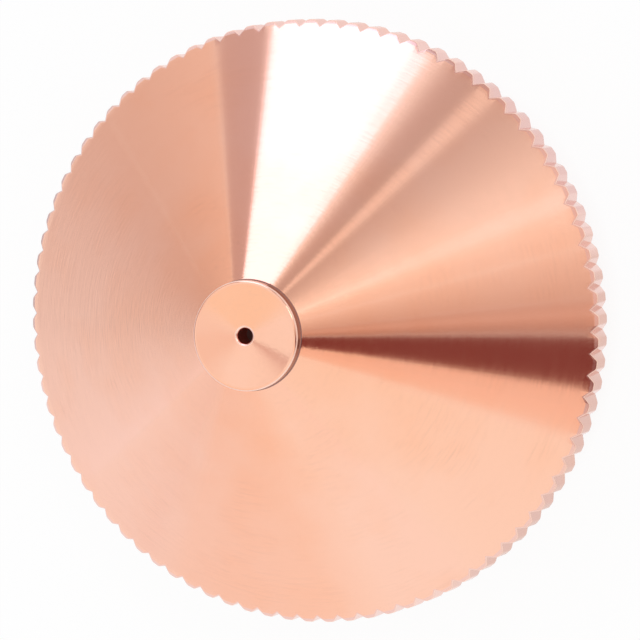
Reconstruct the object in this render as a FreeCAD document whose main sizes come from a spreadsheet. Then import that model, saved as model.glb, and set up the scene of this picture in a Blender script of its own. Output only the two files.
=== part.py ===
# A screw-in laser cutting nozzle turned from one piece of copper.
#
# It stands with its tip up. The origin is on the axis, in the plane of the seat face that
# tightens against the cutting head. Above that plane is the head: a knurled rim for the
# fingers, a plain cone and a flat tip with the orifice. Below it is the threaded shank.
# The gas passage enters the shank as a straight bore and narrows in one cone to the orifice.
import FreeCAD, Part
import math
import os
import Sketcher

# Driving sizes, in millimetres and degrees
SIZES = [
    ("head_diameter", 28.0, "across the crests of the knurl"),
    ("head_height", 10.0, "from the seat face to the tip"),
    ("rim_height", 1.55, "from the seat face to the front edge of the rim"),
    ("rim_front_chamfer", 0.18, "between the rim and the cone"),
    ("rim_back_chamfer", 0.35, "between the rim and the seat face, just past the knurl's roots"),
    ("tip_diameter", 5.0, "of the flat end of the cone"),
    ("tip_land", 0.55, "straight height below the tip"),
    ("tip_edge", 0.08, "broken edge of the tip"),
    ("orifice_diameter", 0.7, "of the hole that the beam leaves by"),
    ("orifice_length", 1.2, "of the straight part of that hole"),
    ("orifice_edge", 0.07, "broken edge of the orifice"),
    ("inlet_diameter", 7.5, "of the straight bore in the shank"),
    ("inlet_depth", 4.0, "of that bore"),
    ("inlet_chamfer", 0.4, "at its mouth"),
    ("thread_diameter", 11.0, "major diameter of the shank's thread"),
    ("shank_length", 5.0, "from the seat face to the end of the shank"),
    ("thread_chamfer", 0.6, "lead-in at the end of the shank"),
    ("relief_diameter", 9.6, "of the undercut behind the thread"),
    ("relief_width", 0.8, "of its floor, below the seat face"),
    ("relief_rise", 0.15, "of its floor into the head, which clears the corner of the seat"),
    ("relief_reach", 0.2, "of its slope beyond the thread, where the seat face begins"),
    ("knurl_pitch", 1.0, "from tooth to tooth, round the roots"),
    ("knurl_depth", 0.3, "from crest to root"),
    ("knurl_angle", 95.0, "between the flanks of a groove"),
    ("knurl_shoulder", 0.26, "radius between a flank and the crest"),
    ("knurl_crest_angle", 15.0, "at which that radius meets the crest"),
]

# Each outline is a list of corners: a name, then its radius and height as expressions
HEAD_AND_SHANK = [
    ("shank_foot", "0", "-sizes.shank_length"),
    ("lead_in_start", "sizes.thread_diameter / 2 - sizes.thread_chamfer", "-sizes.shank_length"),
    ("lead_in_end", "sizes.thread_diameter / 2", "sizes.thread_chamfer - sizes.shank_length"),
    ("shank_root", "sizes.thread_diameter / 2", "0"),
    ("seat_edge", "sizes.head_diameter / 2 - sizes.rim_back_chamfer", "0"),
    ("rim_back", "sizes.head_diameter / 2", "sizes.rim_back_chamfer"),
    ("rim_front", "sizes.head_diameter / 2", "sizes.rim_height"),
    ("cone_foot", "sizes.head_diameter / 2 - sizes.rim_front_chamfer",
     "sizes.rim_height + sizes.rim_front_chamfer"),
    ("cone_top", "sizes.tip_diameter / 2", "sizes.head_height - sizes.tip_land"),
    ("land_top", "sizes.tip_diameter / 2", "sizes.head_height - sizes.tip_edge"),
    ("tip_rim", "sizes.tip_diameter / 2 - sizes.tip_edge", "sizes.head_height"),
    ("tip_centre", "0", "sizes.head_height"),
]
THREAD_RELIEF = [
    ("root_corner", "sizes.relief_diameter / 2", "sizes.relief_rise"),
    ("seat_corner", "sizes.thread_diameter / 2 + sizes.relief_reach", "0"),
    ("run_out", "sizes.thread_diameter / 2",
     "-sizes.relief_width - (sizes.thread_diameter - sizes.relief_diameter) / 2"),
    ("floor_end", "sizes.relief_diameter / 2", "-sizes.relief_width"),
]
GAS_PASSAGE = [
    ("mouth_centre", "0", "-sizes.shank_length"),
    ("mouth_edge", "sizes.inlet_diameter / 2 + sizes.inlet_chamfer", "-sizes.shank_length"),
    ("bore_start", "sizes.inlet_diameter / 2", "sizes.inlet_chamfer - sizes.shank_length"),
    ("bore_end", "sizes.inlet_diameter / 2", "sizes.inlet_depth - sizes.shank_length"),
    ("throat", "sizes.orifice_diameter / 2", "sizes.head_height - sizes.orifice_length"),
    ("orifice_top", "sizes.orifice_diameter / 2", "sizes.head_height - sizes.orifice_edge"),
    ("orifice_rim", "sizes.orifice_diameter / 2 + sizes.orifice_edge", "sizes.head_height"),
    ("exit_centre", "0", "sizes.head_height"),
]
# The distance from the axis at which a shoulder of its radius meets the crest circle at its angle
SHOULDER_CENTRE = (
    "sqrt((sizes.head_diameter / 2)^2 + sizes.knurl_shoulder^2"
    " - sizes.head_diameter * sizes.knurl_shoulder * cos(sizes.knurl_crest_angle * 1 deg))"
)
KNURL_COUNT = "round(pi * (sizes.head_diameter - 2 * sizes.knurl_depth) / sizes.knurl_pitch)"

SKETCH_ORIGIN = (-1, 1)
SKETCH_X_AXIS = -1
SKETCH_Y_AXIS = -2
START, END, CENTRE = 1, 2, 3


def write_sizes(doc):
    """The spreadsheet that every size in the model is read from."""
    sheet = doc.addObject("Spreadsheet::Sheet", "sizes")
    for row, (alias, value, meaning) in enumerate(SIZES, start=1):
        sheet.set(f"A{row}", alias)
        sheet.set(f"B{row}", str(value))
        sheet.set(f"C{row}", meaning)
        sheet.setAlias(f"B{row}", alias)
    doc.recompute()
    return sheet


def number(owner, expression):
    """What an expression comes to, as a plain number."""
    value = owner.evalExpression(expression)
    return float(getattr(value, "Value", value))


def origin_part(body, role):
    """One of the body's own planes or axes."""
    return next(f for f in body.Origin.OriginFeatures if f.Role == role)


def add_sketch(body, name, plane):
    sketch = body.newObject("Sketcher::SketchObject", name)
    sketch.AttachmentSupport = [(origin_part(body, plane), "")]
    sketch.MapMode = "FlatFace"
    return sketch


def bind(sketch, name, constraint, expression):
    """Adds a dimension whose value is an expression of the sheet."""
    index = sketch.addConstraint(constraint)
    sketch.renameConstraint(index, name)
    sketch.setExpression(f"Constraints.{name}", expression)


def place(sketch, name, vertex, across, up):
    """Dimensions a vertex from the sketch's origin, or puts it on an axis where it is zero."""
    for kind, expression, axis in (("DistanceX", across, SKETCH_Y_AXIS), ("DistanceY", up, SKETCH_X_AXIS)):
        if expression == "0":
            sketch.addConstraint(Sketcher.Constraint("PointOnObject", *vertex, axis))
        else:
            value = number(sketch, expression)
            dimension = Sketcher.Constraint(kind, *SKETCH_ORIGIN, *vertex, value)
            bind(sketch, f"{name}_{'radius' if kind == 'DistanceX' else 'height'}", dimension, expression)


def draw_outline(sketch, corners):
    """A closed outline of straight lines through the named corners."""
    points = [FreeCAD.Vector(number(sketch, x), number(sketch, y), 0) for _, x, y in corners]
    count = len(points)
    for i in range(count):
        sketch.addGeometry(Part.LineSegment(points[i], points[(i + 1) % count]), False)
    for i in range(count):
        sketch.addConstraint(Sketcher.Constraint("Coincident", i, END, (i + 1) % count, START))
    for i, (name, across, up) in enumerate(corners):
        place(sketch, name, (i, START), across, up)


def draw_knurl_groove(sketch):
    """A V with its point at the root of the knurl, whose sides round over towards the crests."""
    crest = number(sketch, "sizes.head_diameter / 2")
    depth = number(sketch, "sizes.knurl_depth")
    flank_angle = math.radians(number(sketch, "sizes.knurl_angle / 2"))
    shoulder = number(sketch, "sizes.knurl_shoulder")
    centre_distance = number(sketch, SHOULDER_CENTRE)
    meeting_angle = math.radians(number(sketch, "sizes.knurl_crest_angle"))

    # The shoulder's centre lies its own radius off the flank's line, and its end on the crest circle
    root = FreeCAD.Vector(crest - depth, 0, 0)
    along = FreeCAD.Vector(math.cos(flank_angle), math.sin(flank_angle), 0)
    off = FreeCAD.Vector(-math.sin(flank_angle), math.cos(flank_angle), 0)
    start = root + off * shoulder
    reach = start.dot(along)
    centre = start + along * (math.sqrt(reach**2 + centre_distance**2 - start.dot(start)) - reach)
    flank_end = centre - off * shoulder
    lag = math.asin(shoulder * math.sin(meeting_angle) / centre_distance)
    crest_angle = math.atan2(centre.y, centre.x) - lag
    crest_start = FreeCAD.Vector(math.cos(crest_angle), math.sin(crest_angle), 0) * crest
    corner = FreeCAD.Vector(crest + depth, crest_start.y, 0)
    arc_start = flank_angle - math.pi / 2
    arc_end = crest_angle - meeting_angle

    def below(point):
        return FreeCAD.Vector(point.x, -point.y, 0)

    upward = FreeCAD.Vector(0, 0, 1)
    circle = Part.Circle(centre, upward, shoulder)
    circle_below = Part.Circle(below(centre), upward, shoulder)
    upper_flank = sketch.addGeometry(Part.LineSegment(root, flank_end), False)
    lower_flank = sketch.addGeometry(Part.LineSegment(root, below(flank_end)), False)
    upper_shoulder = sketch.addGeometry(Part.ArcOfCircle(circle, arc_start, arc_end), False)
    lower_shoulder = sketch.addGeometry(Part.ArcOfCircle(circle_below, -arc_end, -arc_start), False)
    upper_side = sketch.addGeometry(Part.LineSegment(crest_start, corner), False)
    closing = sketch.addGeometry(Part.LineSegment(corner, below(corner)), False)
    lower_side = sketch.addGeometry(Part.LineSegment(below(corner), below(crest_start)), False)

    def join(kind, *vertices):
        sketch.addConstraint(Sketcher.Constraint(kind, *vertices))

    join("Coincident", upper_flank, START, lower_flank, START)
    join("PointOnObject", upper_flank, START, SKETCH_X_AXIS)
    join("Symmetric", upper_flank, END, lower_flank, END, SKETCH_X_AXIS)
    join("Tangent", upper_flank, END, upper_shoulder, START)
    join("Coincident", upper_shoulder, END, upper_side, START)
    join("Horizontal", upper_side)
    join("Coincident", upper_side, END, closing, START)
    join("Symmetric", closing, START, closing, END, SKETCH_X_AXIS)
    join("Coincident", closing, END, lower_side, START)
    join("Horizontal", lower_side)
    join("Coincident", lower_side, END, lower_shoulder, START)
    join("Coincident", lower_shoulder, END, lower_flank, END)
    join("Symmetric", upper_shoulder, CENTRE, lower_shoulder, CENTRE, SKETCH_X_AXIS)

    def dimension(name, expression, kind, *arguments):
        bind(sketch, name, Sketcher.Constraint(kind, *arguments), expression)

    dimension("root_radius", "sizes.head_diameter / 2 - sizes.knurl_depth",
              "DistanceX", *SKETCH_ORIGIN, upper_flank, START, root.x)
    dimension("groove_angle", "sizes.knurl_angle * 1 deg",
              "Angle", lower_flank, START, upper_flank, START, 2 * flank_angle)
    dimension("shoulder_radius", "sizes.knurl_shoulder", "Radius", upper_shoulder, shoulder)
    dimension("shoulder_centre", SHOULDER_CENTRE,
              "Distance", *SKETCH_ORIGIN, upper_shoulder, CENTRE, centre_distance)
    dimension("crest_radius", "sizes.head_diameter / 2",
              "Distance", *SKETCH_ORIGIN, upper_shoulder, END, crest)
    dimension("cutter_reach", "sizes.head_diameter / 2 + sizes.knurl_depth",
              "DistanceX", *SKETCH_ORIGIN, closing, START, corner.x)


def cut_checked(body, feature, before):
    """Stops if a cut took nothing away, which the document itself doesn't report."""
    body.Document.recompute()
    removed = before.Shape.Volume - feature.Shape.Volume
    if removed <= 0:
        raise RuntimeError(f"{feature.Name} removed no material")
    body.Tip = feature
    return removed


def turn(body, kind, name, corners):
    """Revolves an outline about the axis, to add material or, as a groove, to take it away."""
    sketch = add_sketch(body, f"{name}_outline", "XZ_Plane")
    draw_outline(sketch, corners)
    feature = body.newObject(kind, name)
    feature.Profile = sketch
    feature.ReferenceAxis = (origin_part(body, "Z_Axis"), [""])
    feature.Angle = 360
    return feature


def make_nozzle(doc):
    body = doc.addObject("PartDesign::Body", "nozzle")
    body.Label = "nozzle"

    blank = turn(body, "PartDesign::Revolution", "head_and_shank", HEAD_AND_SHANK)
    doc.recompute()
    relief = turn(body, "PartDesign::Groove", "thread_relief", THREAD_RELIEF)
    cut_checked(body, relief, blank)
    passage = turn(body, "PartDesign::Groove", "gas_passage", GAS_PASSAGE)
    cut_checked(body, passage, relief)

    groove_sketch = add_sketch(body, "knurl_groove_outline", "XY_Plane")
    draw_knurl_groove(groove_sketch)
    groove = body.newObject("PartDesign::Pocket", "knurl_groove")
    groove.Profile = groove_sketch
    groove.Type = "ThroughAll"
    groove.SideType = "Symmetric"
    one_groove = cut_checked(body, groove, passage)

    knurl = body.newObject("PartDesign::PolarPattern", "knurl")
    knurl.Originals = [groove]
    knurl.Axis = (origin_part(body, "Z_Axis"), [""])
    knurl.Angle = 360
    knurl.setExpression("Occurrences", KNURL_COUNT)
    more_grooves = cut_checked(body, knurl, groove)
    if abs(more_grooves / one_groove - (knurl.Occurrences - 1)) > 1:
        raise RuntimeError("the knurl lacks some of its grooves")
    return body


def check(doc, bodies):
    """Stops if any object failed or a sub-part isn't one sound solid."""
    failed = [o.Name for o in doc.Objects if {"Invalid", "Error"} & set(o.State)]
    if failed:
        raise RuntimeError(f"failed: {', '.join(failed)}")
    for body in bodies:
        shape = body.Shape
        if shape.isNull() or not shape.isValid() or len(shape.Solids) != 1:
            raise RuntimeError(f"{body.Label} is not one sound solid")


def main():
    doc = FreeCAD.newDocument("laser_nozzle")
    write_sizes(doc)
    bodies = [make_nozzle(doc)]
    doc.recompute()
    check(doc, bodies)
    os.makedirs("parts", exist_ok=True)
    for body in bodies:
        body.Shape.exportStep(f"parts/{body.Label}.step")
        print(f"{body.Label}: {body.Shape.Volume:.1f} mm3, {len(body.Shape.Faces)} faces")


main()
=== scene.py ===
"""The looks of a screw-in laser cutting nozzle, turned from one piece of copper.

The visual mesh replaces the plain solid. It is one closed skin of rings about the axis, with the
knurl's teeth, broken edges and the real helical thread. Lengths are in millimetres until they
become mesh, in the frame of the solid: +Z points to the tip, and the seat face is at zero.
"""

import math

import bpy
import bmesh
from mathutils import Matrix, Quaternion, Vector


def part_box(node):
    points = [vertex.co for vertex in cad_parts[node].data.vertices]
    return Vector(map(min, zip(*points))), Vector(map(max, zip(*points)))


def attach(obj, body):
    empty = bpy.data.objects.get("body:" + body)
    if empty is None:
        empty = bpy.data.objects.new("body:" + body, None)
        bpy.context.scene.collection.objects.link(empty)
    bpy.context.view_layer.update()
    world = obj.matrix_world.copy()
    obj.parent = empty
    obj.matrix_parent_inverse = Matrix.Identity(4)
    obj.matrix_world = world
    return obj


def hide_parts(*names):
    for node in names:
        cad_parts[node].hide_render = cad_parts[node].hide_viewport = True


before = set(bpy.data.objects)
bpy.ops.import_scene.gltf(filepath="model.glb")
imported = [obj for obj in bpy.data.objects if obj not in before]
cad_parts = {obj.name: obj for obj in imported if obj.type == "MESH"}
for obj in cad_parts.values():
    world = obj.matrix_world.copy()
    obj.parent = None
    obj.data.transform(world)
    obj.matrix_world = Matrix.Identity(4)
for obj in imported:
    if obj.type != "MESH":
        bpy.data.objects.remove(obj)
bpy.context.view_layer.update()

MM = 0.001
TURN = 2 * math.pi

# Sizes of the solid
LOWEST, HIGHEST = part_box("nozzle")
HEAD_RADIUS = 14.0
HEAD_HEIGHT = HIGHEST[2] / MM
SHANK_END = LOWEST[2] / MM
RIM_HEIGHT = 1.55
RIM_FRONT_CHAMFER = 0.18
RIM_BACK_CHAMFER = 0.35
TIP_RADIUS = 2.5
TIP_LAND = 0.55
TIP_EDGE = 0.08
ORIFICE_RADIUS = 0.35
ORIFICE_LENGTH = 1.2
ORIFICE_EDGE = 0.07
INLET_RADIUS = 3.75
INLET_DEPTH = 4.0
INLET_CHAMFER = 0.4
THREAD_RADIUS = 5.5
THREAD_CHAMFER = 0.6
RELIEF_RADIUS = 4.8
RELIEF_WIDTH = 0.8
RELIEF_RISE = 0.15
RELIEF_MOUTH = 5.7

# The knurl: straight V grooves with rounded shoulders, the first groove on +X
TEETH = 86
KNURL_DEPTH = 0.3
KNURL_HALF_ANGLE = math.radians(47.5)
KNURL_SHOULDER = 0.26
KNURL_CREST_ANGLE = math.radians(15)
SHOULDER_STEPS = 6

# The M11 x 1 thread, right-handed
THREAD_PITCH = 1.0
THREAD_ROOT_RADIUS = 4.9
THREAD_CREST_WIDTH = THREAD_PITCH / 8
THREAD_FLANK_ANGLE = math.radians(30)
THREAD_FLANK_STEPS = 4

# The mesh: columns round the axis, and rounding of the edges with flat stretches held flat
COLUMNS = 4 * TEETH
EDGE_ROUND = 0.04
EDGE_STEP = math.radians(30)
EDGE_HOLD = 0.05
CREASE_HOLD = 0.02
HOLD_SPACE = 4
SHARP_ANGLE = math.radians(40)
WELD_DISTANCE = EDGE_ROUND * MM / 1000

# Where the photograph was taken from
PHOTO_SIZE = 640
SENSOR_WIDTH = 36
FOCAL_PIXELS = 5277
CAMERA_DISTANCE = 244.44
CAMERA_AZIMUTH = math.radians(2.73)
CAMERA_ELEVATION = math.radians(69.19)
CAMERA_ROLL = math.radians(-102.13)
RIM_CENTRE_PIXEL = (310.4, 321.9)

# The studio
FLOOR_RADIUS = 2.0
FLOOR_SIDES = 64
STUDIO_RADIUS = 0.9
CARD_GAP = 0.001
CARD_STEPS = 24
CARD_ROWS = 12
LEAST_SOFTNESS = 0.001
SKY_ON_MATT = 0.8
FLOOR_GLOW = 0.93

# Copper: its colours, then the pitch, depth and spread of its fine marks
COPPER = (1.0, 0.61, 0.47, 1)
COPPER_WARM = (1.0, 0.57, 0.41, 1)
COPPER_PALE = (0.9, 0.6, 0.54, 1)
# Dark copper for the tip's land: painted shade, in place of the dark reflection of the cone that the
# land catches
COPPER_LAND_SHADE = (0.32, 0.18, 0.16, 1)
# Darker, redder copper for the bore: painted shade in the bore
COPPER_BORE_SHADE = (0.85, 0.26, 0.18, 1)
# Paler copper for broken edges: a painted highlight along them
COPPER_EDGE_HIGHLIGHT = (1.0, 0.72, 0.61, 1)
TARNISH = (0.6, 0.3, 0.25, 1)
TARNISH_SHARE = 0.13
MARK_PITCH = 0.14
MARK_ROUND = 9.0
MARK_DEPTH = 0.006
CLOUD_SCALE = 300.0
CLOUD_SHARE = 1.2
WARM_RADIUS = 4.0
COOL_RADIUS = 11.0
DISH_SLOPE = math.tan(math.radians(3))
GLOSS_SPREAD = 0.04
STREAK_LIMITS = (0.5, 0.75)
PATCH_LIMITS = (0.4, 0.7)
BRUSHED_SHARE = 0.9
ALONG_MERIDIAN = 0.25

# Studio cards: start, end, lowest and highest in degrees, the radiance at the start and the end,
# the softness of both ends, and how far the card leans over as it rises. The first angle is
# counted from the camera's side, round the axis. Each card hangs just behind the one before it.
CARDS = {
    "card_wedge": (-34.8, -19.6, -1, 88, (0.2, 0.042, 0.038), (0.21, 0.06, 0.055), 0.4, 1, 0),
    "card_blush": (-92, -48, 5, 75, (1, 1, 0.98), (1, 0.95, 0.88), 8, 0.5, 0),
    "card_amber": (-50, -39.5, 27, 75, (0.99, 0.8, 0.68), (0.96, 0.7, 0.58), 4, 0.5, 0),
    "card_honey": (-40, -33, 27, 75, (0.94, 0.69, 0.57), (0.94, 0.72, 0.6), 0.5, 0.5, 0),
    "card_flame": (-20, -13.7, 27, 75, (0.42, 0.26, 0.22), (0.74, 0.5, 0.41), 1, 0.5, 0),
    "card_ember": (-14, -9.7, 27, 75, (0.7, 0.48, 0.4), (0.62, 0.45, 0.39), 0.3, 0.5, 0),
    "card_warm": (-10, 4.5, 27, 75, (0.69, 0.52, 0.45), (0.92, 0.78, 0.7), 0.5, 0.5, 0),
    "card_pale": (4.5, 17, 27, 75, (0.92, 0.78, 0.7), (0.98, 0.88, 0.81), 0.5, 2, 0),
    "card_right": (20, 52, 27, 65, (0.97, 0.92, 0.88), (0.6, 0.52, 0.51), 2, 2, 0),
    "card_slim": (55.6, 68, 27, 60, (0.56, 0.49, 0.48), (0.64, 0.54, 0.54), 1, 4, 0),
    "card_line": (50, 58, 27, 60, (1.0, 0.92, 0.88), (0.94, 0.86, 0.82), 0.5, 0.5, 0),
    "card_glow": (61, 71, 12, 60, (0.72, 0.61, 0.6), (1, 1, 1), 1, 0.5, 0),
    "card_beside": (106.8, 118, 1, 45, (0.62, 0.51, 0.53), (0.61, 0.49, 0.49), 0.2, 1, 0),
    "card_left": (117.5, 141, 1, 45, (0.86, 0.71, 0.64), (0.7, 0.56, 0.51), 1, 0.5, 0),
    "card_far": (140.5, 171, 0.5, 45, (0.7, 0.56, 0.51), (0.55, 0.45, 0.47), 0.5, 0.5, 0),
    "card_turn": (170.5, 195, 0.5, 45, (0.53, 0.44, 0.47), (0.94, 0.96, 1.1), 0.5, 0.5, 0),
    "card_veil": (194.5, 214, 0.5, 45, (0.92, 0.9, 0.96), (0.9, 0.84, 0.86), 0.5, 6, 0),
    "card_peach": (207, 254, 0.5, 50, (0.93, 0.84, 0.82), (1.0, 0.9, 0.82), 7, 15, 0),
    "card_low": (-48, 20, -1, 27, (0.84, 0.68, 0.62), (0.9, 0.7, 0.62), 4, 0.5, 0),
    "card_low_right": (20, 74, -1, 27, (1.0, 0.8, 0.7), (0.4, 0.25, 0.25), 0.5, 2, 0),
    "card_flag": (158.7, 164.5, 55, 67.5, (0.92, 0.82, 0.8), (0.62, 0.46, 0.45), 3, 0.3, 1),
    "card_over": (168, 194, 71.5, 80, (0.93, 0.83, 0.79), (0.94, 0.85, 0.81), 2, 8, 0),
    "card_high": (182, 212, 58, 72, (1, 0.9, 0.76), (1, 0.92, 0.8), 4, 8, 0),
}

# Cards that lie on the table beside the object, seen only in reflections: painted shade of the floor
# round the object, darkest on the far side. Start and end in degrees from the camera's side, nearest
# and farthest in millimetres, and the radiance
FLOOR_SHADE_CARDS = {
    "card_table_far": (115, 178, 20, 37, (0.62, 0.64, 0.68)),
    "card_table_lit": (48, 112, 14.5, 40, (0.97, 0.89, 0.87)),
    "card_table_side": (6, 50, 14.5, 40, (0.9, 0.85, 0.86)),
    "card_table_near": (-78, 8, 14.5, 40, (0.84, 0.78, 0.74)),
}
TABLE_CARD_LIFT = 0.5
TABLE_CARD_SOFT = 0.15

# Two soft lamps: where they hang (turned and raised, in degrees), their size in metres and power
SOFTBOX_PLACE = (88, 26)
SOFTBOX_WIDTH = 0.56
SOFTBOX_HEIGHT = 0.6
SOFTBOX_POWER = 1.4
SOFTBOX_COLOUR = (0.72, 0.66, 1.0)
KEY_PLACE = (25, 58)
KEY_WIDTH = 0.3
KEY_HEIGHT = 0.12
KEY_POWER = 0.5
KEY_COLOUR = (1.0, 0.95, 0.9)

# The finishes, in the order of the materials on the mesh. Among them are painted shade on the bore and
# on the tip's land, and a painted highlight on broken edges
TURNED, KNURLED, THREADED, BORED, LAND_SHADE, FACED, EDGE_HIGHLIGHT = range(7)


def cone_height(radius):
    """Height of the cone's surface."""
    foot = HEAD_RADIUS - RIM_FRONT_CHAMFER
    slope = (HEAD_HEIGHT - TIP_LAND - RIM_HEIGHT - RIM_FRONT_CHAMFER) / (foot - TIP_RADIUS)
    return RIM_HEIGHT + RIM_FRONT_CHAMFER + (foot - radius) * slope


def front_height(radius):
    """Height of the head's front side: the cone, and the rim's front chamfer outside it."""
    return min(cone_height(radius), RIM_HEIGHT + HEAD_RADIUS - radius)


def back_height(radius):
    """Height of the rim's back chamfer."""
    return max(0, radius - HEAD_RADIUS + RIM_BACK_CHAMFER)


def half_tooth():
    """Half a knurl pitch, from a root to the middle of a crest, as (angle, radius) pairs."""
    root = Vector((HEAD_RADIUS - KNURL_DEPTH, 0))
    along = Vector((math.cos(KNURL_HALF_ANGLE), math.sin(KNURL_HALF_ANGLE)))
    off = Vector((-math.sin(KNURL_HALF_ANGLE), math.cos(KNURL_HALF_ANGLE)))
    spread = 2 * HEAD_RADIUS * KNURL_SHOULDER * math.cos(KNURL_CREST_ANGLE)
    centre_distance = math.sqrt(HEAD_RADIUS**2 + KNURL_SHOULDER**2 - spread)
    start = root + off * KNURL_SHOULDER
    reach = start.dot(along)
    centre = start + along * (math.sqrt(reach**2 + centre_distance**2 - start.dot(start)) - reach)
    lag = math.asin(KNURL_SHOULDER * math.sin(KNURL_CREST_ANGLE) / centre_distance)
    arc_start = KNURL_HALF_ANGLE - math.pi / 2
    arc_end = math.atan2(centre.y, centre.x) - lag - KNURL_CREST_ANGLE
    points = [root]
    for step in range(SHOULDER_STEPS + 1):
        turn = arc_start + (arc_end - arc_start) * step / SHOULDER_STEPS
        points.append(centre + KNURL_SHOULDER * Vector((math.cos(turn), math.sin(turn))))
    crest = math.pi / TEETH
    points.append(HEAD_RADIUS * Vector((math.cos(crest), math.sin(crest))))
    return [(math.atan2(point.y, point.x), point.length) for point in points]


def knurl():
    """The knurled outline all round, as (angle, radius) pairs."""
    pitch = TURN / TEETH
    rising = half_tooth()
    falling = [(pitch - angle, radius) for angle, radius in reversed(rising[1:-1])]
    tooth = rising + falling
    return [(pitch * i + angle, radius) for i in range(TEETH) for angle, radius in tooth]


def rounded(before, corner, after, steps=None):
    """An arc in place of a corner of a meridian, in equal steps and at most EDGE_STEP each."""
    back = (before - corner).normalized()
    ahead = (after - corner).normalized()
    turn = math.pi - back.angle(ahead)
    steps = steps or max(1, math.ceil(turn / EDGE_STEP))
    radius = EDGE_ROUND / math.tan(turn / 2) if turn > 0 else 0
    bisector = (back + ahead).normalized()
    centre = corner + bisector * math.hypot(radius, EDGE_ROUND)
    points = []
    for step in range(steps + 1):
        angle = turn * (step / steps - 0.5)
        side = Vector((-bisector.y, bisector.x))
        if side.dot(ahead) < 0:
            side = -side
        points.append(centre + radius * (math.sin(angle) * side - math.cos(angle) * bisector))
    return points


class Skin:
    """A mesh grown ring by ring, each ring joined to the one before it."""

    def __init__(self):
        self.mesh = bmesh.new()
        self.last = None

    def vertex(self, angle, radius, height):
        return self.mesh.verts.new(
            (radius * math.cos(angle) * MM, radius * math.sin(angle) * MM, height * MM)
        )

    def face(self, corners, finish):
        made = self.mesh.faces.new(corners)
        made.smooth = True
        made.material_index = finish

    def ring(self, points, finish):
        """Adds a ring through (angle, radius, height) points, and the faces up to the ring before."""
        corners = [self.vertex(*point) for point in points]
        if self.last:
            self.join(self.last, corners, finish)
        self.last = corners

    def circle(self, radius, height, finish):
        self.ring([(TURN * i / COLUMNS, radius, height) for i in range(COLUMNS)], finish)

    def join(self, before, after, finish):
        """Faces between two rings, of which one may have several times the points of the other."""
        coarse, fine = sorted((before, after), key=len)
        share = len(fine) // len(coarse)
        for i, here in enumerate(coarse):
            following = coarse[(i + 1) % len(coarse)]
            fan = [fine[(i * share + k) % len(fine)] for k in range(share + 1)]
            if share == 1:
                self.face((here, following, fan[1], fan[0]), finish)
                continue
            middle = share // 2
            for k in range(share):
                self.face((here if k < middle else following, fan[k], fan[k + 1]), finish)
            self.face((here, fan[middle], following), finish)

    def meridian(self, outline):
        """Rings along an outline of (radius, height, finish) corners, with rounded corners.

        A corner's finish is that of the stretch which ends there. The first and last corners stay as
        they are.
        """
        points = [Vector((radius, height)) for radius, height, finish in outline]
        self.circle(*points[0], outline[0][2])
        for i in range(1, len(points) - 1):
            before, corner, after = points[i - 1 : i + 2]
            finish, next_finish = outline[i][2], outline[i + 1][2]
            arc = rounded(before, corner, after)
            if (before - corner).length > HOLD_SPACE * EDGE_HOLD:
                self.circle(*(arc[0] + (before - corner).normalized() * EDGE_HOLD), finish)
            for point in arc:
                self.circle(*point, finish)
            if (after - corner).length > HOLD_SPACE * EDGE_HOLD:
                self.circle(*(arc[-1] + (after - corner).normalized() * EDGE_HOLD), next_finish)
        self.circle(*points[-1], outline[-1][2])

    def rim(self):
        """The knurled rim, from the cone round the teeth to the seat face."""
        outline = knurl()
        inner = HEAD_RADIUS - KNURL_DEPTH - HOLD_SPACE * EDGE_HOLD
        foot = HEAD_RADIUS - RIM_FRONT_CHAMFER
        self.ring([(angle, inner, cone_height(inner)) for angle, radius in outline], TURNED)
        columns = []
        for angle, radius in outline:
            wall_top = Vector((radius, front_height(radius)))
            wall_foot = Vector((radius, back_height(radius)))
            crease_radius = min(foot, radius - 2 * EDGE_HOLD)
            crease = Vector((crease_radius, front_height(crease_radius)))
            before = Vector((crease_radius - CREASE_HOLD, cone_height(crease_radius - CREASE_HOLD)))
            seat = Vector((HEAD_RADIUS - RIM_BACK_CHAMFER, 0))
            hold = Vector((0, EDGE_ROUND + EDGE_HOLD))
            after = crease + (wall_top - crease).normalized() * CREASE_HOLD
            edge = rounded(crease, wall_top, wall_foot, 2)
            edge_start = edge[0] + (crease - wall_top).normalized() * CREASE_HOLD
            column = [before, after, edge_start] + edge + [wall_top - hold]
            column += [wall_foot + hold] + rounded(wall_top, wall_foot, seat, 2) + [seat]
            columns.append([(angle, point.x, point.y) for point in column])
        # The rounded front edges of the teeth take the painted highlight
        finishes = 2 * [TURNED] + 2 * [KNURLED] + 2 * [EDGE_HIGHLIGHT] + 6 * [KNURLED]
        for ring, finish in zip(zip(*columns), finishes, strict=True):
            self.ring(ring, finish)

    def thread(self, top, bottom):
        """The helical thread, cut off at its ends by the undercut's cone and the lead-in."""
        self.last = None
        depth = THREAD_RADIUS - THREAD_ROOT_RADIUS
        half_crest = THREAD_CREST_WIDTH / 2
        flank = depth * math.tan(THREAD_FLANK_ANGLE)
        falling = [(0, 0)]
        for step in range(THREAD_FLANK_STEPS + 1):
            share = step / THREAD_FLANK_STEPS
            falling.append((half_crest + flank * share, depth * share))
        falling.append((THREAD_PITCH / 2, depth))
        profile = falling + [(THREAD_PITCH - place, sunk) for place, sunk in reversed(falling[1:-1])]
        turns = math.ceil((top - bottom) / THREAD_PITCH) + 2
        for turn in range(turns):
            for place, sunk in profile:
                row = []
                for column in range(COLUMNS + 1):
                    wound = column / COLUMNS
                    height = top + THREAD_PITCH * (1 - turn - wound) - place
                    height = min(top, max(bottom, height))
                    run_out = RELIEF_RADIUS + top - height
                    lead_in = THREAD_RADIUS - THREAD_CHAMFER + height - bottom
                    radius = min(THREAD_RADIUS - sunk, run_out, lead_in)
                    row.append(self.vertex(-TURN * wound, radius, height))
                if self.last:
                    for column in range(COLUMNS):
                        upper = self.last[column : column + 2]
                        lower = row[column : column + 2]
                        self.face((*upper, *reversed(lower)), THREADED)
                self.last = row
        self.last = None

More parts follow.
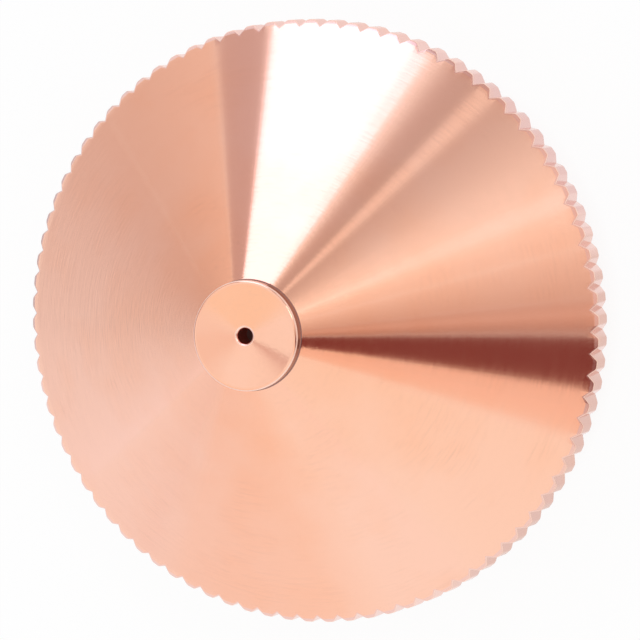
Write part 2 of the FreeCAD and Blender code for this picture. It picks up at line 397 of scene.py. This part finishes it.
    def piece(self, name, materials):
        """The finished object."""
        bmesh.ops.remove_doubles(self.mesh, verts=self.mesh.verts, dist=WELD_DISTANCE)
        bmesh.ops.recalc_face_normals(self.mesh, faces=self.mesh.faces)
        data = bpy.data.meshes.new(name)
        self.mesh.to_mesh(data)
        self.mesh.free()
        for material in materials:
            data.materials.append(material)
        data.set_sharp_from_angle(angle=SHARP_ANGLE)
        made = bpy.data.objects.new(name, data)
        bpy.context.scene.collection.objects.link(made)
        return made


def build_nozzle(materials):
    skin = Skin()
    edge_foot = HEAD_HEIGHT - TIP_EDGE
    orifice_floor = HEAD_HEIGHT - ORIFICE_LENGTH
    orifice_middle = HEAD_HEIGHT - ORIFICE_LENGTH / 2
    cone_end = HEAD_RADIUS - KNURL_DEPTH - 10 * EDGE_HOLD
    skin.meridian([
        (ORIFICE_RADIUS, orifice_middle, BORED),
        (ORIFICE_RADIUS, HEAD_HEIGHT - ORIFICE_EDGE, BORED),
        # The orifice's broken edge takes the painted highlight
        (ORIFICE_RADIUS + ORIFICE_EDGE, HEAD_HEIGHT, EDGE_HIGHLIGHT),
        (TIP_RADIUS - TIP_EDGE, HEAD_HEIGHT, FACED),
        # The tip's broken edge takes the painted highlight
        (TIP_RADIUS, edge_foot, EDGE_HIGHLIGHT),
        # The tip's land takes the painted shade
        (TIP_RADIUS, HEAD_HEIGHT - TIP_LAND, LAND_SHADE),
        (cone_end, cone_height(cone_end), TURNED),
    ])
    skin.rim()
    run_out_top = -RELIEF_WIDTH
    skin.meridian([
        (HEAD_RADIUS - RIM_BACK_CHAMFER - 2 * EDGE_HOLD, 0, TURNED),
        (RELIEF_MOUTH, 0, TURNED),
        (RELIEF_RADIUS, RELIEF_RISE, TURNED),
        (RELIEF_RADIUS, run_out_top, TURNED),
    ])
    skin.thread(run_out_top, SHANK_END)
    skin.meridian([
        (THREAD_RADIUS - THREAD_CHAMFER, SHANK_END, TURNED),
        (INLET_RADIUS + INLET_CHAMFER, SHANK_END, TURNED),
        (INLET_RADIUS, SHANK_END + INLET_CHAMFER, TURNED),
        (INLET_RADIUS, SHANK_END + INLET_DEPTH, BORED),
        (ORIFICE_RADIUS, orifice_floor, BORED),
        (ORIFICE_RADIUS, orifice_middle, BORED),
    ])
    return skin.piece("nozzle_turned", materials)


class Nodes:
    """Adds nodes to a node tree. An input takes a plain value, or another node's socket."""

    def __init__(self, owner):
        owner.use_nodes = True
        self.tree = owner.node_tree
        self.tree.nodes.clear()

    def add(self, kind, inputs=None, **settings):
        node = self.tree.nodes.new("ShaderNode" + kind)
        for name, value in settings.items():
            setattr(node, name, value)
        for name, value in (inputs or {}).items():
            socket = node.inputs[name]
            if isinstance(value, bpy.types.NodeSocket):
                self.tree.links.new(value, socket)
            else:
                socket.default_value = value
        return node

    def math(self, operation, first, second):
        return self.add("Math", {0: first, 1: second}, operation=operation).outputs[0]

    def background_rays(self):
        """One for rays that see the scene directly, in a mirror or through glass, else zero."""
        path = self.add("LightPath").outputs
        seen = self.math("MAXIMUM", path["Is Camera Ray"], path["Is Glossy Ray"])
        return self.math("MAXIMUM", seen, path["Is Transmission Ray"])


def radius_and_height(nodes):
    """The distance from the axis and the height of a place on the object, and the way round it."""
    place = nodes.add("TexCoord").outputs["Object"]
    flat = nodes.add("VectorMath", {0: place, 1: (1, 1, 0)}, operation="MULTIPLY").outputs[0]
    radius = nodes.add("VectorMath", {0: flat}, operation="LENGTH").outputs["Value"]
    height = nodes.add("SeparateXYZ", {0: place}).outputs["Z"]
    around = nodes.add("VectorMath", {0: flat}, operation="NORMALIZE").outputs[0]
    return radius, height, around


def turning_marks(nodes):
    """Heights of the fine rings that the tool leaves: close along the meridian, long round the axis."""
    radius, height, around = radius_and_height(nodes)
    along = nodes.math("MULTIPLY", nodes.math("SUBTRACT", radius, height), 1 / MM)
    wide = nodes.add("VectorMath", {0: around, "Scale": MARK_ROUND}, operation="SCALE").outputs[0]
    lift = nodes.add("CombineXYZ", {"Z": nodes.math("DIVIDE", along, MARK_PITCH)}).outputs[0]
    where = nodes.add("VectorMath", {0: wide, 1: lift}, operation="ADD").outputs[0]
    return nodes.add("TexNoise", {"Vector": where, "Scale": 1.0, "Detail": 2.0}).outputs["Fac"]


def warmth(nodes):
    """One at the tip, where heat has warmed the colour, and zero near the rim."""
    radius = radius_and_height(nodes)[0]
    reach = {"Value": radius, "From Min": COOL_RADIUS * MM, "From Max": WARM_RADIUS * MM}
    return nodes.add("MapRange", reach).outputs[0]


def copper(name, colour, second_colour, roughness, marks, dish=0):
    """Bare machined copper: fine marks, slightly uneven colour and gloss, perhaps a slight dish."""
    material = bpy.data.materials.new(name)
    nodes = Nodes(material)
    fine = turning_marks(nodes)
    place = nodes.add("TexCoord").outputs["Object"]
    broad = nodes.add("TexNoise", {"Vector": place, "Scale": CLOUD_SCALE, "Detail": 3.0}).outputs["Fac"]
    clouds = nodes.add("MapRange", {"Value": broad, "To Min": -CLOUD_SHARE, "To Max": CLOUD_SHARE})
    share = nodes.math("ADD", warmth(nodes), clouds.outputs[0])
    tone = nodes.add("Mix", {"Factor": share, "A": colour, "B": second_colour}, data_type="RGBA")
    streaks = nodes.add("MapRange", {
        "Value": fine,
        "From Min": STREAK_LIMITS[0],
        "From Max": STREAK_LIMITS[1],
    })
    patches = nodes.add("MapRange", {
        "Value": broad,
        "From Min": PATCH_LIMITS[0],
        "From Max": PATCH_LIMITS[1],
        "To Max": TARNISH_SHARE,
    })
    stain = nodes.math("MULTIPLY", streaks.outputs[0], patches.outputs[0])
    stained = {"Factor": stain, "A": tone.outputs["Result"], "B": TARNISH}
    tone = nodes.add("Mix", stained, data_type="RGBA")
    gloss = nodes.add("MapRange", {
        "Value": fine,
        "To Min": roughness - GLOSS_SPREAD,
        "To Max": roughness + GLOSS_SPREAD,
    })
    relief = nodes.math("MULTIPLY", fine, marks * MARK_DEPTH * MM)
    if dish:
        rise = nodes.math("MULTIPLY", radius_and_height(nodes)[0], dish)
        relief = nodes.math("ADD", relief, rise)
    bump = nodes.add("Bump", {"Height": relief, "Strength": 1.0, "Distance": 1.0})
    shader = nodes.add("BsdfPrincipled", {
        "Base Color": tone.outputs["Result"],
        "Metallic": 1.0,
        "Roughness": gloss.outputs[0],
        "Normal": bump.outputs[0],
    })
    nodes.add("OutputMaterial", {"Surface": shader.outputs[0]})
    return material, nodes, shader


def brush_round(nodes, shader):
    """Fine turning spreads highlights across its rings, along the meridian."""
    shader.inputs["Anisotropic"].default_value = BRUSHED_SHARE
    shader.inputs["Anisotropic Rotation"].default_value = ALONG_MERIDIAN
    tangent = nodes.add("Tangent", direction_type="RADIAL", axis="Z").outputs[0]
    nodes.tree.links.new(tangent, shader.inputs["Tangent"])


def turned_copper():
    material, nodes, shader = copper(
        "turned_copper", COPPER, COPPER_WARM, roughness=0.15, marks=0.4
    )
    brush_round(nodes, shader)
    return material


def faced_copper():
    """The tip's face, which the facing cut leaves a little dished."""
    material, nodes, shader = copper(
        "faced_copper", COPPER, COPPER_WARM, roughness=0.1, marks=0.1, dish=DISH_SLOPE
    )
    brush_round(nodes, shader)
    return material


def knurled_copper():
    return copper("knurled_copper", COPPER_PALE, COPPER, roughness=0.2, marks=0.2)[0]


def threaded_copper():
    return copper("threaded_copper", COPPER, COPPER_WARM, roughness=0.25, marks=0.3)[0]


# Painted shade: the bore is coloured darker and redder than the rest of the copper
def bored_copper():
    return copper("bored_copper", COPPER_BORE_SHADE, COPPER_BORE_SHADE, roughness=0.35, marks=0.5)[0]


# Painted shade: the tip's land is coloured dark in place of its dark reflection of the cone
def land_shade_copper():
    return copper("land_shade_copper", COPPER_LAND_SHADE, COPPER_LAND_SHADE, roughness=0.12, marks=0.3)[0]


def edge_highlight_copper():
    """Broken edges painted paler than the copper: a painted highlight along them."""
    return copper("edge_highlight_copper", COPPER_EDGE_HIGHLIGHT, COPPER_EDGE_HIGHLIGHT, roughness=0.3, marks=0.2)[0]


def mesh_object(name, vertices, faces, material):
    data = bpy.data.meshes.new(name)
    data.from_pydata(vertices, [], faces)
    data.materials.append(material)
    made = bpy.data.objects.new(name, data)
    bpy.context.scene.collection.objects.link(made)
    return made


def build_floor():
    """A round white floor under the end of the shank, which keeps a soft shadow."""
    material = bpy.data.materials.new("floor_white")
    nodes = Nodes(material)
    place = nodes.add("TexCoord").outputs["Object"]
    away = nodes.add("VectorMath", {0: place}, operation="LENGTH").outputs["Value"]
    open_floor = nodes.add("MapRange", {
        "Value": away,
        "From Min": THREAD_RADIUS * MM,
        "From Max": HEAD_RADIUS * MM,
        "To Max": FLOOR_GLOW,
    }).outputs[0]
    glow_share = nodes.math("MULTIPLY", nodes.background_rays(), open_floor)
    matt = nodes.add("BsdfDiffuse", {"Color": (1, 1, 1, 1)}).outputs[0]
    glow = nodes.add("Emission", {"Color": (1, 1, 1, 1), "Strength": 1.0}).outputs[0]
    mix = nodes.add("MixShader", {0: glow_share, 1: matt, 2: glow}).outputs[0]
    nodes.add("OutputMaterial", {"Surface": mix})
    angles = [TURN * i / FLOOR_SIDES for i in range(FLOOR_SIDES)]
    rim = [(FLOOR_RADIUS * math.cos(a), FLOOR_RADIUS * math.sin(a), LOWEST[2]) for a in angles]
    floor = mesh_object("floor", rim, [range(FLOOR_SIDES)], material)


def build_world():
    world = bpy.data.worlds.new("studio")
    bpy.context.scene.world = world
    nodes = Nodes(world)
    strength = nodes.add("MapRange", {"Value": nodes.background_rays(), "To Min": SKY_ON_MATT})
    sky = nodes.add("Background", {"Color": (1, 1, 1, 1), "Strength": strength.outputs[0]})
    nodes.add("OutputWorld", {"Surface": sky.outputs[0]})


def direction(turned, raised):
    """A unit vector, turned in degrees from the camera's side and raised from the floor."""
    angle = CAMERA_AZIMUTH - math.pi / 2 + math.radians(turned)
    raised = math.radians(raised)
    level = math.cos(raised)
    return Vector((math.cos(angle) * level, math.sin(angle) * level, math.sin(raised)))


def sheet(name, rows, first_colour, last_colour, soft_start, soft_end):
    """A studio card through rows of points, seen only in reflections, with soft ends."""
    steps = len(rows[0]) - 1
    vertices = [point for row in rows for point in row]
    faces = []
    for row in range(len(rows) - 1):
        for step in range(steps):
            corner = row * (steps + 1) + step
            faces.append((corner, corner + 1, corner + steps + 2, corner + steps + 1))
    material = bpy.data.materials.new(name)
    nodes = Nodes(material)
    along = nodes.add("Attribute", attribute_name="along").outputs["Fac"]
    fade_in = nodes.add("MapRange", {"Value": along, "From Max": max(soft_start, LEAST_SOFTNESS)})
    rest = nodes.math("SUBTRACT", 1, along)
    fade_out = nodes.add("MapRange", {"Value": rest, "From Max": max(soft_end, LEAST_SOFTNESS)})
    cover = nodes.math("MULTIPLY", fade_in.outputs[0], fade_out.outputs[0])
    clear = nodes.add("BsdfTransparent").outputs[0]
    tones = {"Factor": along, "A": (*first_colour, 1), "B": (*last_colour, 1)}
    tone = nodes.add("Mix", tones, data_type="RGBA").outputs["Result"]
    glow = nodes.add("Emission", {"Color": tone, "Strength": 1.0}).outputs[0]
    mix = nodes.add("MixShader", {0: cover, 1: clear, 2: glow}).outputs[0]
    nodes.add("OutputMaterial", {"Surface": mix})
    made = mesh_object(name, vertices, faces, material)
    shares = made.data.attributes.new("along", "FLOAT", "POINT")
    for index in range(len(vertices)):
        shares.data[index].value = index % (steps + 1) / steps
    made.visible_camera = False
    made.visible_diffuse = False
    made.visible_shadow = False


def card(name, away, start, end, low, high, first_colour, last_colour, soft_start, soft_end, lean):
    """A curved card that stands round the object."""
    rows = []
    for row in range(CARD_ROWS + 1):
        raised = low + (high - low) * row / CARD_ROWS
        first = start + lean * (raised - low)
        turns = [first + (end - start) * step / CARD_STEPS for step in range(CARD_STEPS + 1)]
        rows.append([direction(turned, raised) * away for turned in turns])
    width = end - start
    sheet(name, rows, first_colour, last_colour, soft_start / width, soft_end / width)


def floor_shade_card(name, start, end, near, far, colour):
    """A card that lies beside the object, seen only in reflections: painted shade of the floor in the
    edges of its rim.
    """
    turns = [start + (end - start) * step / CARD_STEPS for step in range(CARD_STEPS + 1)]
    lift = Vector((0, 0, LOWEST[2] + TABLE_CARD_LIFT * MM))
    rows = []
    for reach in (near, far):
        rows.append([direction(turned, 0) * reach * MM + lift for turned in turns])
    sheet(name, rows, colour, colour, TABLE_CARD_SOFT, TABLE_CARD_SOFT)


def build_cards():
    for order, (name, values) in enumerate(CARDS.items()):
        card(name, STUDIO_RADIUS + CARD_GAP * order, *values)
    for name, values in FLOOR_SHADE_CARDS.items():
        floor_shade_card(name, *values)


def build_lamp(name, place, width, height, power, colour):
    """A rectangular soft lamp that faces the object."""
    lamp = bpy.data.lights.new(name, "AREA")
    lamp.shape = "RECTANGLE"
    lamp.size = width
    lamp.size_y = height
    lamp.energy = power
    lamp.color = colour
    made = bpy.data.objects.new(name, lamp)
    towards = direction(*place)
    made.location = towards * STUDIO_RADIUS
    made.rotation_euler = towards.to_track_quat("Z", "Y").to_euler()
    made.visible_camera = False
    bpy.context.scene.collection.objects.link(made)


def build_camera():
    lens = bpy.data.cameras.new("camera")
    lens.sensor_width = SENSOR_WIDTH
    lens.lens = FOCAL_PIXELS / PHOTO_SIZE * SENSOR_WIDTH
    back = Vector((
        math.sin(CAMERA_AZIMUTH) * math.cos(CAMERA_ELEVATION),
        -math.cos(CAMERA_AZIMUTH) * math.cos(CAMERA_ELEVATION),
        math.sin(CAMERA_ELEVATION),
    ))
    turn = (-back).to_track_quat("-Z", "Y") @ Quaternion((0, 0, 1), CAMERA_ROLL)
    pixel = CAMERA_DISTANCE / FOCAL_PIXELS
    across = (RIM_CENTRE_PIXEL[0] - PHOTO_SIZE / 2) * pixel
    up = (PHOTO_SIZE / 2 - RIM_CENTRE_PIXEL[1]) * pixel
    seen = turn @ Vector((across, up, -CAMERA_DISTANCE))
    camera = bpy.data.objects.new("camera", lens)
    camera.rotation_mode = "QUATERNION"
    camera.rotation_quaternion = turn
    camera.location = (Vector((0, 0, RIM_HEIGHT)) - seen) * MM
    bpy.context.scene.collection.objects.link(camera)
    bpy.context.scene.camera = camera


nozzle = build_nozzle([
    turned_copper(),
    knurled_copper(),
    threaded_copper(),
    bored_copper(),
    land_shade_copper(),
    faced_copper(),
    edge_highlight_copper(),
])
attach(nozzle, "root")
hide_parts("nozzle")

build_floor()
build_world()
build_cards()
build_lamp("softbox", SOFTBOX_PLACE, SOFTBOX_WIDTH, SOFTBOX_HEIGHT, SOFTBOX_POWER, SOFTBOX_COLOUR)
build_lamp("key_lamp", KEY_PLACE, KEY_WIDTH, KEY_HEIGHT, KEY_POWER, KEY_COLOUR)
build_camera()
bpy.context.scene.view_settings.view_transform = "Standard"
